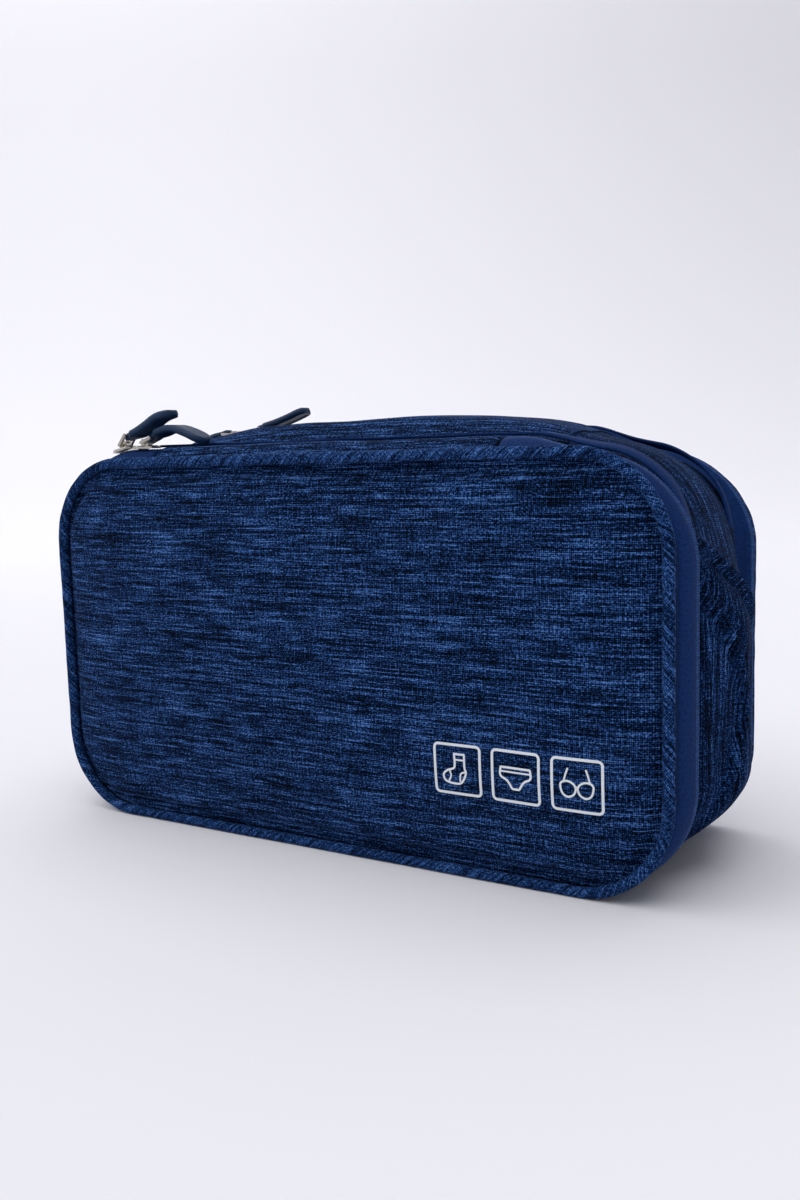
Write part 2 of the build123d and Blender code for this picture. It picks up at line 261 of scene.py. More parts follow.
def ramp(tree, factor, *stops):
    """A colour ramp with stops of position and hex colour."""
    node = add_node(tree, "ShaderNodeValToRGB", {"Fac": factor})
    bar = node.color_ramp
    while len(bar.elements) < len(stops):
        bar.elements.new(0.5)
    for element, (at, code) in zip(bar.elements, stops):
        element.position = at
        element.color = linear(code)
    return node.outputs["Color"]


# %% Melange cloth
THREAD = 0.7  # mm between threads, drawn coarser than the real 0.3
WAVE = np.pi / 10  # Blender's wave texture has a period of this over its scale


def melange(name, turn=0.0, contrast=1.0, lift=0.0):
    """Plain-weave melange polyester. turn is the weave's angle in degrees, as on bias-cut piping.

    Each yarn's noise is weighted and summed about a middle tone of 0.5 + lift, and a ramp turns that into
    colour. A contrast under 1 draws the yarns closer together in tone.
    """
    material, tree, shader = new_material(name, {"Roughness": 0.9, "Specular IOR Level": 0.04,
                                                 "Sheen Weight": 0.008, "Sheen Roughness": 0.5})
    mapped = in_millimetres(tree, "UV", turn)

    def noise(wide, high, detail, offset=0.0, roughness=0.5):
        """Noise stretched so that one blotch is wide by high, in millimetres."""
        vector = add_node(tree, "ShaderNodeMapping", {"Vector": mapped, "Location": (offset, offset, 0),
                                                      "Scale": (1 / wide, 1 / high, 1)}).outputs[0]
        return add_node(tree, "ShaderNodeTexNoise", {"Vector": vector, "Scale": 1.0, "Detail": detail,
                                                     "Roughness": roughness}).outputs["Fac"]

    def threads(direction):
        """Rows of threads: a sine with one wave for each thread."""
        sockets = {"Vector": mapped, "Scale": WAVE / THREAD, "Distortion": 0.35, "Detail": 1.0,
                   "Detail Scale": 1.5}
        return add_node(tree, "ShaderNodeTexWave", sockets, bands_direction=direction).outputs["Fac"]

    def calc(operation, a, b, c=0.0):
        """One arithmetic step."""
        return add_node(tree, "ShaderNodeMath", {0: a, 1: b, 2: c}, operation=operation).outputs[0]

    over = calc("MULTIPLY", threads("X"), threads("Y"))
    slub = noise(13.0, 0.8, 3.0, 0.0, 0.65)
    yarns = ((slub, 1.3), (noise(42.0, 1.5, 2.0, 17.0), 0.8), (noise(0.7, 7.0, 2.0, 31.0), 0.5),
             (noise(30.0, 12.0, 2.0, 5.0), 0.3), (noise(0.85, 0.65, 1.0, 9.0, 0.7), 1.3), (over, 0.3))
    shares = np.array([share for _, share in yarns])
    means = np.array([0.5] * 5 + [0.25])  # noise averages a half, and two crossed sines a quarter
    tone = float(0.5 + lift - contrast * (shares * means).sum())
    for pattern, share in yarns:
        tone = calc("MULTIPLY_ADD", pattern, share * contrast, tone)
    colour = ramp(tree, tone, (0.20, "#00050f"), (0.38, "#031027"), (0.52, "#0b2348"), (0.70, "#23457c"),
                  (0.92, "#567fbe"))
    height = calc("MULTIPLY_ADD", over, 0.6, calc("MULTIPLY", slub, 0.35))
    bump = add_node(tree, "ShaderNodeBump", {"Height": height, "Strength": 0.5, "Distance": 0.0002})
    tree.links.new(colour, shader.inputs["Base Color"])
    tree.links.new(bump.outputs[0], shader.inputs["Normal"])
    return material


cloth = melange("melange polyester, plain weave")
# The same melange, darker by a lift of -0.035: painted shade on the gusset's sides, which the lights leave
# brighter than the cloth should look there.
shaded_side_cloth = melange("melange polyester, slack on the sides", 0.0, 0.85, -0.035)
bias_cloth = melange("melange polyester, cut on the bias", 45.0, 0.75, 0.07)
print("cloth materials made")


# %% [markdown]
# ## Tape, lining, nylon, rubber, nickel and ink
#
# Zipper tape is a dense woven polyester with ribs across its length, so it looks plainer and deeper in colour
# than the melange. The lining is a light plain weave. The coil is drawn nylon with a soft gloss. One wave
# texture serves all three, with another period. The pulls are soft moulded PVC with a satin skin. The sliders
# are zinc castings with bright nickel plate. The print is white screen ink. These need no weave, only a colour
# and slight patches of gloss, which keep them from looking like perfect plastic.

# %% Smaller materials
def ribbed(name, dark, light, period, rough, depth, direction="X"):
    """Woven tape or plain lining: ribs of one period in millimetres, with slight unevenness."""
    material, tree, shader = new_material(name, {"Roughness": rough, "Specular IOR Level": 0.08,
                                                 "Sheen Weight": 0.01, "Sheen Roughness": 0.5})
    mapped = in_millimetres(tree, "UV")
    wave = add_node(tree, "ShaderNodeTexWave", {"Vector": mapped, "Scale": WAVE / period, "Distortion": 0.6,
                                                "Detail": 2.0, "Detail Scale": 1.2}, bands_direction=direction)
    noise = add_node(tree, "ShaderNodeTexNoise", {"Vector": mapped, "Scale": 0.9, "Detail": 3.0})
    mix = add_node(tree, "ShaderNodeMath", {0: wave.outputs["Fac"], 1: 0.35, 2: noise.outputs["Fac"]},
                   operation="MULTIPLY_ADD")
    colour = ramp(tree, mix.outputs[0], (0.25, dark), (0.95, light))
    bump = add_node(tree, "ShaderNodeBump", {"Height": mix.outputs[0], "Strength": 0.5,
                                             "Distance": depth * MM})
    tree.links.new(colour, shader.inputs["Base Color"])
    tree.links.new(bump.outputs[0], shader.inputs["Normal"])
    return material


tape_cloth = ribbed("woven polyester zipper tape", "#04183f", "#15366d", 0.75, 0.8, 0.12)
lining_cloth = ribbed("plain polyester lining", "#0a1730", "#162a50", 0.6, 0.82, 0.06, "Y")
coil_nylon = ribbed("drawn nylon coil", "#10264e", "#34568f", 1.0, 0.5, 0.03)


def moulded(name, code, rough, speck_size, depth, metallic=0.0, specular=0.5):
    """A moulded, cast or printed skin: one colour, slight patches of gloss and a fine grain."""
    material, tree, shader = new_material(name, {"Base Color": linear(code), "Metallic": metallic,
                                                 "Specular IOR Level": specular})
    mapped = in_millimetres(tree, "Object")
    grain = add_node(tree, "ShaderNodeTexNoise", {"Vector": mapped, "Scale": 1 / speck_size, "Detail": 3.0})
    patch = add_node(tree, "ShaderNodeTexNoise", {"Vector": mapped, "Scale": 0.25, "Detail": 2.0})
    bump = add_node(tree, "ShaderNodeBump", {"Height": grain.outputs["Fac"], "Strength": 0.3,
                                             "Distance": depth * MM})
    gloss = add_node(tree, "ShaderNodeMapRange", {"Value": patch.outputs["Fac"], "To Min": rough * 0.8,
                                                  "To Max": rough * 1.25})
    tree.links.new(gloss.outputs[0], shader.inputs["Roughness"])
    tree.links.new(bump.outputs[0], shader.inputs["Normal"])
    return material


rubber = moulded("soft moulded PVC", "#0f2e4f", 0.5, 0.5, 0.02, specular=0.28)
nickel = moulded("bright nickel plate", "#d9d4cc", 0.2, 0.8, 0.008, 1.0)
ink = moulded("white screen ink", "#e6eaf0", 0.6, 0.4, 0.02)
print("materials:", len(bpy.data.materials))


def finish_piece(piece, material, body, slot, *nodes):
    """Gives a piece its material and body, and hides the CAD nodes that it stands for. slot is not used."""
    for m in material if isinstance(material, (list, tuple)) else [material]:
        piece.data.materials.append(m)
    if body:
        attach(piece, body)
    if nodes:
        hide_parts(*nodes)
    return piece


# %% [markdown]
# ## Camera, floor and light
#
# The camera stands to the right of the case, level with its top. The floor runs up into a backdrop in one
# sweep, so there is no horizon. A very wide sun overhead works as a softbox as large as the room, a weak grey
# world fills the sides, and one area light washes the backdrop. A few small lamps would do too, but each would
# throw its own shadow. The view transform is Standard, because the film-like default would grey the paper.

# %% Camera
CAMERA_PLACE = (0.25495, -0.40096, 0.15121)
CAMERA_TURN = np.radians([82.824, 1.611, 31.593])
lens_camera = bpy.data.cameras.new("camera")
lens_camera.sensor_width = 36
lens_camera.lens = 34.93
camera = bpy.data.objects.new("camera", lens_camera)
camera.location = CAMERA_PLACE
camera.rotation_euler = Euler(CAMERA_TURN)
bpy.context.scene.collection.objects.link(camera)
bpy.context.scene.camera = camera

# %% Floor, backdrop and lights
FLOOR_REACH = 14.0  # metres each way, so that the floor runs to the horizon behind the case too
SWEEP_START, SWEEP_RADIUS, BACKDROP_TOP = 1.6, 1.2, 5.0
FLOOR_DROP = 0.0002  # keeps the floor clear of the case's base
reach = np.linspace(-FLOOR_REACH, FLOOR_REACH, 9)
turn = np.linspace(0, np.pi / 2, 16)
sweep_y = np.concatenate([[-FLOOR_REACH, 0.0], SWEEP_START + SWEEP_RADIUS * np.sin(turn),
                          [SWEEP_START + SWEEP_RADIUS]])
sweep_z = np.concatenate([[0.0, 0.0], SWEEP_RADIUS * (1 - np.cos(turn)), [BACKDROP_TOP]])
spin = np.radians(31.6)
grid = np.zeros((len(reach), len(sweep_y), 3))
grid[..., 0] = reach[:, None] * np.cos(spin) - sweep_y * np.sin(spin)
grid[..., 1] = reach[:, None] * np.sin(spin) + sweep_y * np.cos(spin)
grid[..., 2] = sweep_z - FLOOR_DROP
floor = grid_piece("floor", grid)
paper = new_material("matt studio paper", {"Base Color": linear("#eeedf2"), "Roughness": 0.95})[0]
floor.data.materials.append(paper)

world = bpy.data.worlds.new("studio")
bpy.context.scene.world = world
world.use_nodes = True
sky = world.node_tree.nodes["Background"].inputs
sky["Color"].default_value = linear("#f1f3fa")
sky["Strength"].default_value = 0.335
bpy.context.scene.view_settings.view_transform = "Standard"

key = bpy.data.lights.new("overhead_soft", "SUN")
key.energy = 2.55
key.angle = np.radians(100)
wash = bpy.data.lights.new("backdrop_wash", "AREA")
wash.shape = "SQUARE"
wash.size = 2.0
wash.energy = 19


def place_light(light, place, direction):
    """Puts a light at a place, shining along a direction."""
    lamp = bpy.data.objects.new(light.name, light)
    lamp.location = place
    lamp.rotation_euler = Vector(direction).to_track_quat("-Z", "Y").to_euler()
    bpy.context.scene.collection.objects.link(lamp)


place_light(key, (0, 0, 0), (0.34, 0.10, -1.0))
place_light(wash, (-1.6, 0.9, 2.4), (-0.5, 1.4, -1.2))
print("camera, floor and lights placed")


# %% [markdown]
# ## The zipper band
#
# Behind each lid's piping runs a band about 12 mm deep. It flares out to a crest, where the two halves of the
# coil meet, and falls into a valley where the case's half of the tape is sewn to the gusset. On top, between
# the ends of the zipper, the band is a strip of the cloth itself: the lid's hinge. A curve with a bevel could
# be swept round the case, but its section would stay the same all round. Here the section is a list of depths
# and growths of the seam loop, so one grid gives the groove, the flare and the crest, and both lids share it.

# %% The two sides of the case
class Side:
    """A lid's own sizes, read from its CAD nodes."""

    def __init__(self, name, sign):
        self.name = name
        self.sign = sign
        low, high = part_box(f"{name}_lid_coil")
        self.crest_side = high.x - HALF_WIDTH
        self.crest_rise = high.z - SEAM_TOP
        self.crest_drop = SEAM_BASE - low.z
        self.lid_coil = sorted(SEAM_Y - sign * y for y in (low.y, high.y))
        low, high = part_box(f"{name}_body_coil")
        self.body_coil = sorted(SEAM_Y - sign * y for y in (low.y, high.y))
        low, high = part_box(f"{name}_body_tape")
        self.valley = max(SEAM_Y - sign * y for y in (low.y, high.y))
        low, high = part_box(f"{name}_hinge_strip")
        self.hinge = (low.x, high.x)
        self.body = f"{name}_lid"
        self.valley_rise = self.crest_rise - 1.0 * MM

    def y(self, depth):
        """Y of a depth behind this lid's seam."""
        return self.sign * (SEAM_Y - depth)

    def crest(self, less=0.0):
        """Growth of the loop at the crest."""
        return self.crest_side - less, self.crest_rise - less, self.crest_drop - less


front, rear = Side("front", -1), Side("rear", 1)
for s in (front, rear):
    print(s.name, "crest", round(1000 * s.crest_rise, 2), "valley depth", round(1000 * s.valley, 2))


def walk_between(start_x, end_x, step):
    """Distances along the loop, the long way round from the hinge strip's right end to its left end."""
    count = int((LENGTH + start_x - end_x) / step)
    return np.linspace(end_x, LENGTH + start_x, count)


def band_points(side, walk, depth, growth, wobble=0.0, seed=1):
    """Points of a band: growth holds side, rise and drop for each depth."""
    w, d = np.meshgrid(walk, depth, indexing="ij")
    g = np.asarray(growth).T[:, None, :]
    extra = wobble * ripple(w, d, seed, 45 * MM) if wobble else 0.0
    x, z, normal = loop(w, g[0], g[1], g[2])
    x, z = x + extra * normal[..., 0], z + extra * normal[..., 1]
    z = np.maximum(z, 0.15 * MM)
    return settle(np.stack([x, side.y(d), z], -1))


def shell(name, outer, wall, walk):
    """A cloth shell: the outer grid, and the same grid moved inwards by the wall, joined at the edges."""
    normal = surface_normals(outer)
    middle = np.array([0, 0, SEAM_MIDDLE])
    if ((outer - middle) * normal).sum(-1).mean() < 0:
        normal = -normal
    inner = outer - wall * normal
    points = np.concatenate([outer, inner[:, ::-1]], 1)
    width = np.linalg.norm(np.diff(outer[len(outer) // 2], axis=0), axis=-1)
    across = np.concatenate([[0], np.cumsum(width)])
    across = np.concatenate([across, across[-1] + wall + across, [2 * across[-1] + 2 * wall]])
    return grid_piece(name, points, walk, across, wrap=(False, True), fold_ends=True)


# %% Lid tape and case tape
GROOVE_DEPTH = np.array([0.65, 1.0, 2.0, 2.8]) * MM  # the dark groove between the piping and the band
GROOVE_GROWTH = np.array([-2.6, -2.8, -2.5, -1.0]) * MM
TAPE_WALL = 0.9 * MM
COIL_ROOM = 0.5 * MM  # the tape lies this far under the crest of the coil
LAP = 0.15 * MM  # how far the tape laps past the coil's edge


def blend_growth(a, b, share):
    """Growth between two, for each share from 0 to 1."""
    return [tuple(p + (q - p) * t for p, q in zip(a, b)) for t in share]


def groove_and_flare(crest):
    """Growth of a band from the groove behind the piping up to a crest, with nine steps in the flare."""
    share = np.sin(np.linspace(0, 1, 9) * np.pi / 2) ** 0.9
    foot = (GROOVE_GROWTH[-1] + COIL_ROOM,) * 3
    return [(g,) * 3 for g in GROOVE_GROWTH] + blend_growth(foot, crest, share)


def flare_depth(side):
    """Depths of the same nine steps."""
    return GROOVE_DEPTH[-1] + LAP + (side.lid_coil[0] - GROOVE_DEPTH[-1]) * np.linspace(0, 1, 9)


def lid_tape(side):
    """The lid's half: out of the groove behind the piping, then a rounded flare up to the crest."""
    walk = walk_between(side.hinge[0] - 0.6 * MM, side.hinge[1] + 0.6 * MM, 2.5 * MM)
    depth = np.concatenate([GROOVE_DEPTH, flare_depth(side)])
    points = band_points(side, walk, depth, groove_and_flare(side.crest(COIL_ROOM)), 0.12 * MM, 3)
    piece = shell(f"{side.name}_lid_tape_cloth", points, TAPE_WALL, walk)
    finish_piece(piece, tape_cloth, side.body, "zipper_tape", f"{side.name}_lid_tape")


def case_tape(side):
    """The case's half: from the crest down into the valley before the gusset."""
    walk = walk_between(side.hinge[0], side.hinge[1], 2.5 * MM)
    share = np.linspace(0, 1, 7)
    start = side.body_coil[1]
    depth = start + (side.valley - start) * share
    low = (-2.6 * MM, side.valley_rise - 2.2 * MM, 0.6 * MM)
    growth = blend_growth(side.crest(COIL_ROOM), low, np.sin(share * np.pi / 2) ** 0.75)
    points = band_points(side, walk, depth, growth, 0.1 * MM, 5)
    piece = shell(f"{side.name}_case_tape_cloth", points, TAPE_WALL, walk)
    finish_piece(piece, tape_cloth, "case", "zipper_tape", f"{side.name}_body_tape")


def coil(side, depths, name, body, node):
    """Half of the coil: a cord whose thickness swells once for each turn of the coil."""
    pitch = 1.4 * MM
    walk = walk_between(side.hinge[0] - 0.6 * MM, side.hinge[1] + 0.6 * MM, pitch / 4)
    around = np.linspace(0, 2 * np.pi, 7)[:-1]
    swell = 0.62 + 0.38 * np.abs(np.sin(np.pi * walk / pitch))[:, None]
    half = (depths[1] - depths[0]) / 2
    out = -half + half * np.cos(around)[None, :] * swell
    depth = (depths[0] + depths[1]) / 2 + half * np.sin(around)[None, :] * 0.9
    growth = side.crest()
    x, z, normal = loop(walk[:, None] + 0 * out, *growth)
    x, z = x + out * normal[..., 0], z + out * normal[..., 1]
    points = settle(np.stack([x, side.y(depth) + 0 * x, z], -1))
    piece = grid_piece(name, points, walk, np.linspace(0, 4.4 * MM, 7), wrap=(False, True), fold_ends=True)
    finish_piece(piece, coil_nylon, body, "coil_nylon", node)


for side in (front, rear):
    lid_tape(side)
    case_tape(side)
    coil(side, side.lid_coil, f"{side.name}_lid_coil_turns", side.body, f"{side.name}_lid_coil")
    coil(side, side.body_coil, f"{side.name}_case_coil_turns", "case", f"{side.name}_body_coil")
print("zipper bands made")

# %% [markdown]
# ## The hinge strips
#
# The strip is the same melange cloth, folded under at its left end and cut square at its right end. It is sewn
# to the lid's edge in front and to the gusset behind, so it has to bend when the lid opens. Bones or a cloth
# simulation could bend it, but here nothing does: the strip is attached to no body and keeps the shape it is
# built in.


# %% Hinge strips
STRIP_WALL = 1.1 * MM
BEND_START, BEND_END = 9 * MM, 0.8 * MM  # depths behind the seam meant for a bend towards the lid; their Y is worked out but not used


def hinge_strip(side):
    """A folded strip: the band's profile between the zipper's ends, with rounded ends."""
    walk = np.linspace(side.hinge[0], side.hinge[1], 90)
    falling = np.linspace(side.lid_coil[0] + LAP, side.valley, 8)[1:]
    depth = np.concatenate([GROOVE_DEPTH, flare_depth(side), falling])
    crest = side.crest(-COIL_ROOM)  # the strip lies over the tape's ends
    low = (-1.0 * MM, side.valley_rise - 1.2 * MM, 0)
    growth = groove_and_flare(crest) + blend_growth(crest, low, np.linspace(0, 1, 8)[1:] ** 1.7)
    points = band_points(side, walk, depth, growth)
    ends = np.minimum(walk - walk[0], walk[-1] - walk)
    points[..., 2] -= (0.9 * MM * (1 - smooth(ends, 0, 2.2 * MM)))[:, None]
    w, d = np.meshgrid(walk, depth, indexing="ij")
    points[..., 2] += 0.25 * MM * ripple(w, d, 11, 40 * MM)
    piece = shell(f"{side.name}_hinge_cloth", points, STRIP_WALL, walk)
    finish_piece(piece, cloth, None, "melange_cloth", f"{side.name}_hinge_strip")
    side.y(BEND_START)
    side.y(BEND_END)
    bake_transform(piece)


for side in (front, rear):
    hinge_strip(side)
print("hinge strips made")

# %% [markdown]
# ## The gusset
#
# The gusset is one band of cloth all round, between the two valleys. On top it is crowned by what is packed
# inside. At the sides it hangs a little slack, so it folds: a long curved crease runs from the front top
# corner to the back and down again, and soft folds run beside it. It is cut in two parts, and the cross
# seams on top show as small steps. A cloth simulation would fold it at random. These folds are drawn by
# formula instead, as ridges along chosen lines, so that they lie where slack cloth of this cut puts them.


# %% The gusset's surface
GUSSET_WALL = 1.5 * MM


def crown(x):
    """Height of the crown along the top: full in the middle, low at the corners."""
    return (2.6 + 11.9 * np.exp(-(x / (91 * MM)) ** 4)) * MM


def gusset_grid(walk, share):
    """Points of the gusset. walk goes round the case and share goes from the front valley to the rear one."""
    w, t = np.meshgrid(walk, share, indexing="ij")
    depth = front.valley + t * (2 * SEAM_Y - front.valley - rear.valley)
    x0, z0, normal = loop(w)
    top = np.clip(normal[..., 1], 0, 1) ** 1.5
    base = np.clip(-normal[..., 1], 0, 1) ** 1.5
    flank = np.clip(1 - top - base, 0, 1)
    edge_rise = front.valley_rise + (rear.valley_rise - front.valley_rise) * smooth(t, 0.1, 1)
    bulge = smooth(t, 0, 0.34) * (1 - smooth(t, 0.8, 1.0))
    rise = edge_rise - 1.4 * MM + bulge * (crown(x0) - edge_rise + 1.2 * MM + 0.8 * MM * t)
    height = z0 - SEAM_BASE
    swell = smooth(height, -6 * MM, 34 * MM) * (1 - smooth(height, 84 * MM, 128 * MM))
    belly = np.sin(np.pi * np.clip(t, 0, 1) ** 1.5) ** 0.8
    waist = -2.4 * MM + (1.6 + 9.5 * swell) * MM * belly
    grow = top * rise + flank * waist + base * 1.4 * MM
    slack = np.where(x0 > 0, 1.0, 0.8)
    grow = grow + side_folds(np.where(x0 > 0, depth, depth + 3 * MM), height) * flank * slack
    soft = top + 0.5 * flank
    grow = grow + 0.5 * MM * ripple(w, depth, 21, 55 * MM) * soft * np.sin(np.pi * t)
    grow = grow + 0.16 * MM * ripple(w, depth, 22, 40 * MM) * soft * np.sin(np.pi * t)
    x = x0 + grow * normal[..., 0]
    z = z0 + grow * normal[..., 1]
    lift = smooth(t, 0.45, 1.0) * base * smooth(np.abs(x0), CORE_X - 5 * MM, HALF_WIDTH) * 2.5 * MM
    z = np.maximum(z + lift, 0.1 * MM)
    return settle(np.stack([x, -SEAM_Y + depth, z], -1)), depth


def crease(depth, height, path, width, tall):
    """A ridge over a line of depths and heights: a bell across the line, as tall as tall, in metres."""
    at, line = np.array(path, float).T * MM
    order = np.argsort(line)
    place = np.interp(height, line[order], at[order])
    ends = smooth(height, line.min() - 3 * MM, line.min() + 8 * MM)
    ends = ends * (1 - smooth(height, line.max() - 8 * MM, line.max() + 2 * MM))
    return tall * MM * np.exp(-((depth - place) / (width * MM)) ** 2) * ends


def side_folds(depth, height):
    """Folds of a side wall, as growth in metres.

    Two long ridges start high at the front edge and curve to the back; the lower one turns back to the
    front below half height. Behind them are soft upright folds, and ahead of them is a sunken valley.
    """
    low_ridge = [(22, 116), (27, 101), (34, 91), (41, 78), (44, 64), (45, 54), (41, 40), (34, 24), (30, 12)]
    high_ridge = [(21, 126), (33, 117), (46, 108), (58, 99), (66, 88), (70, 74)]
    folds = crease(depth, height, low_ridge, 2.2, 3.4) - crease(depth - 5.2 * MM, height, low_ridge, 3.2, 2.8)
    folds += crease(depth, height, high_ridge, 2.6, 2.6) - crease(depth + 5 * MM, height, high_ridge, 3.2, 2.0)
    fine = np.sin(depth / (1.9 * MM) + 1.2 * np.sin(height / (24 * MM)) + height / (40 * MM))
    fine = fine * smooth(depth, 40 * MM, 52 * MM) * smooth(height, 6 * MM, 30 * MM)
    folds += 0.24 * MM * fine * (1 - smooth(height, 84 * MM, 106 * MM))
    valley = np.exp(-((depth - 21.5 * MM) / (3.4 * MM)) ** 2)
    folds -= 4.2 * MM * valley * smooth(height, 10 * MM, 36 * MM) * (1 - smooth(height, 92 * MM, 112 * MM))
    return folds


def gusset_part(name, walk, node, outer_cloth, lift=0.0):
    """One cut of the gusset, with a lining on its inner face."""
    share = np.concatenate([np.linspace(0, 0.06, 4), np.linspace(0.06, 0.94, 46)[1:-1],
                            np.linspace(0.94, 1, 4)])
    points, depth = gusset_grid(walk, share)
    if lift:
        ends = np.minimum(walk - walk[0], walk[-1] - walk)
        points[..., 2] += (lift * (1 - 0.8 * smooth(ends, 0, 7 * MM)))[:, None]
    piece = shell(name, points, GUSSET_WALL, walk)
    inner = np.zeros(len(piece.data.polygons), np.int32)
    columns = len(share)
    cells = (len(walk) - 1) * 2 * columns
    inner[:cells] = np.tile(np.arange(2 * columns) >= columns, len(walk) - 1)
    finish_piece(piece, (outer_cloth, lining_cloth), "case", "melange_cloth", node)
    piece.data.polygons.foreach_set("material_index", inner)


top_low, top_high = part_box("gusset_top")
gusset_part("gusset_top_cloth", np.linspace(top_low.x, top_high.x, 110), "gusset_top", cloth, 0.5 * MM)
# The side cut wears the darkened melange: painted shade, not a different cloth.
gusset_part("gusset_side_cloth", np.linspace(top_high.x, LENGTH + top_low.x, 380), "gusset_sides", shaded_side_cloth)
print("gusset made")

# %% [markdown]
# ## The padded lids
#
# A lid is a foam pad between two cloths, sewn in with the piping. The sewn edge pulls the pad down, so it rolls
# over beside the piping and is crowned and slightly dented inside. The surface is a rectangular grid whose
# rings are bent into rounded rectangles, so the weave runs straight across the whole lid. A short cloth
# simulation with a little pressure then relaxes the free part, which rounds the dents as foam would.


# %% A grid in a rounded rectangle
def rounded_grid(columns, rows, inset):
    """Points (x, z) that fill the seam's rounded rectangle, inset from its edge.

    Ring m of the square grid, where m = max(|u|, |v|), becomes a rounded rectangle m times as large, whose
    corner radius is m cubed times the full one.
    """
    u, v = np.meshgrid(np.linspace(-1, 1, columns), np.linspace(-1, 1, rows), indexing="ij")
    ring = np.maximum(np.abs(u), np.abs(v))
    half_x, half_z = HALF_WIDTH - inset, (SEAM_TOP - SEAM_BASE) / 2 - inset
    radius = np.maximum((CORNER - inset) * ring ** 3, 1e-6)
    x, z = u * half_x, v * half_z
    inner_x = np.clip(x, -(ring * half_x - radius), ring * half_x - radius)
    inner_z = np.clip(z, -(ring * half_z - radius), ring * half_z - radius)
    from_core = np.stack([x - inner_x, z - inner_z], -1)
    size = np.maximum(np.linalg.norm(from_core, axis=-1), 1e-9)
    scale = np.where(size > 0, radius / size, 0)
    return inner_x + from_core[..., 0] * scale, SEAM_MIDDLE + inner_z + from_core[..., 1] * scale


def lid_face(x, z, side):
    """How far the lid's cloth stands in front of the seam: a rolled edge, a crown, dents and puckers."""
    d = edge_distance(x, z)
    edge = 3.6 * MM * np.sqrt(np.clip(1 - (1 - np.clip((d - 5.7 * MM) / (3.0 * MM), 0, 1)) ** 2, 0, 1))
    pillow = 2.4 * MM * smooth(d, 5 * MM, 42 * MM)
    inside = smooth(d, 4 * MM, 24 * MM)
    dents = 0.55 * MM * ripple(x, z, 31 + side.sign, 95 * MM) + 0.18 * MM * ripple(x, z, 41, 38 * MM)
    around = np.arctan2(z - SEAM_MIDDLE, x) * 90 * MM
    pucker = 0.16 * MM * ripple(around, 0.2 * d, 51 + side.sign, 9 * MM) * np.exp(-(d / (9 * MM)) ** 2)
    fold = 0.32 * MM * np.exp(-((x + 106 * MM + 0.12 * (z - 0.13)) / (2.2 * MM)) ** 2)
    fold = fold * smooth(z, 95 * MM, 116 * MM) * (1 - smooth(z, 122 * MM, 134 * MM)) * (side.sign < 0)
    return 0.3 * MM + edge + pillow + inside * dents + pucker + fold


def pad_piece(name, front_points, back_points, cloth_uv):
    """A closed pad: two grids of the same size, joined along their edge by quads."""
    columns, rows = front_points.shape[:2]
    number = np.arange(columns * rows).reshape(columns, rows)
    quad = np.stack([number[:-1, :-1], number[1:, :-1], number[1:, 1:], number[:-1, 1:]], -1).reshape(-1, 4)
    edge = np.concatenate([number[:-1, 0], number[-1, :-1], number[:0:-1, -1], number[0, :0:-1]])
    after = np.roll(edge, -1)
    total = columns * rows
    sides = np.stack([edge, after, after + total, edge + total], 1)
    faces = np.concatenate([quad, quad[:, ::-1] + total, sides])
    points = np.concatenate([front_points.reshape(-1, 3), back_points.reshape(-1, 3)])
    flat = np.tile(cloth_uv.reshape(-1, 2), (2, 1))
    return new_piece(name, points, faces, flat[faces])


def inflate(pad, free, cap):
    """Lets pressure push the free points of a pad out as real cloth would go, each by no more than cap."""
    start = np.zeros(len(pad.data.vertices) * 3)
    pad.data.vertices.foreach_get("co", start)
    start = start.reshape(-1, 3)
    held = pad.vertex_groups.new(name="held")
    held.add(np.flatnonzero(~free).tolist(), 1.0, "REPLACE")
    sewn = pad.modifiers.new("sewn cloth", "CLOTH")
    sewn.settings.quality = 5
    sewn.settings.mass = 0.25
    sewn.settings.bending_stiffness = 0.8
    sewn.settings.shrink_min = -0.012
    sewn.settings.use_pressure = True
    sewn.settings.uniform_pressure_force = 4
    sewn.settings.effector_weights.gravity = 0
    sewn.settings.vertex_group_mass = "held"
    for frame_number in range(1, 19):
        bpy.context.scene.frame_set(frame_number)
    blown = pad.evaluated_get(bpy.context.evaluated_depsgraph_get()).data
    end = np.zeros(len(blown.vertices) * 3)
    blown.vertices.foreach_get("co", end)
    move = end.reshape(-1, 3) - start
    far = np.linalg.norm(move, axis=1, keepdims=True)
    move = move * cap * np.tanh(far / cap) / np.maximum(far, 1e-9)
    pad.modifiers.remove(sewn)
    pad.vertex_groups.remove(held)
    pad.data.vertices.foreach_set("co", (start + move * free[:, None]).ravel())
    pad.data.update()
    bpy.context.scene.frame_set(1)
    print(f"{pad.name}: pressed out by up to {1000 * np.abs(move[:, 1]).max():.1f} mm")


PAD_INSET, LINING_INSET = 1.6 * MM, 0.4 * MM  # inside the seam
FREE_FROM = 8 * MM  # nearer the seam than this, the pad is held by the stitches
MOST_PUSH = 1.6 * MM


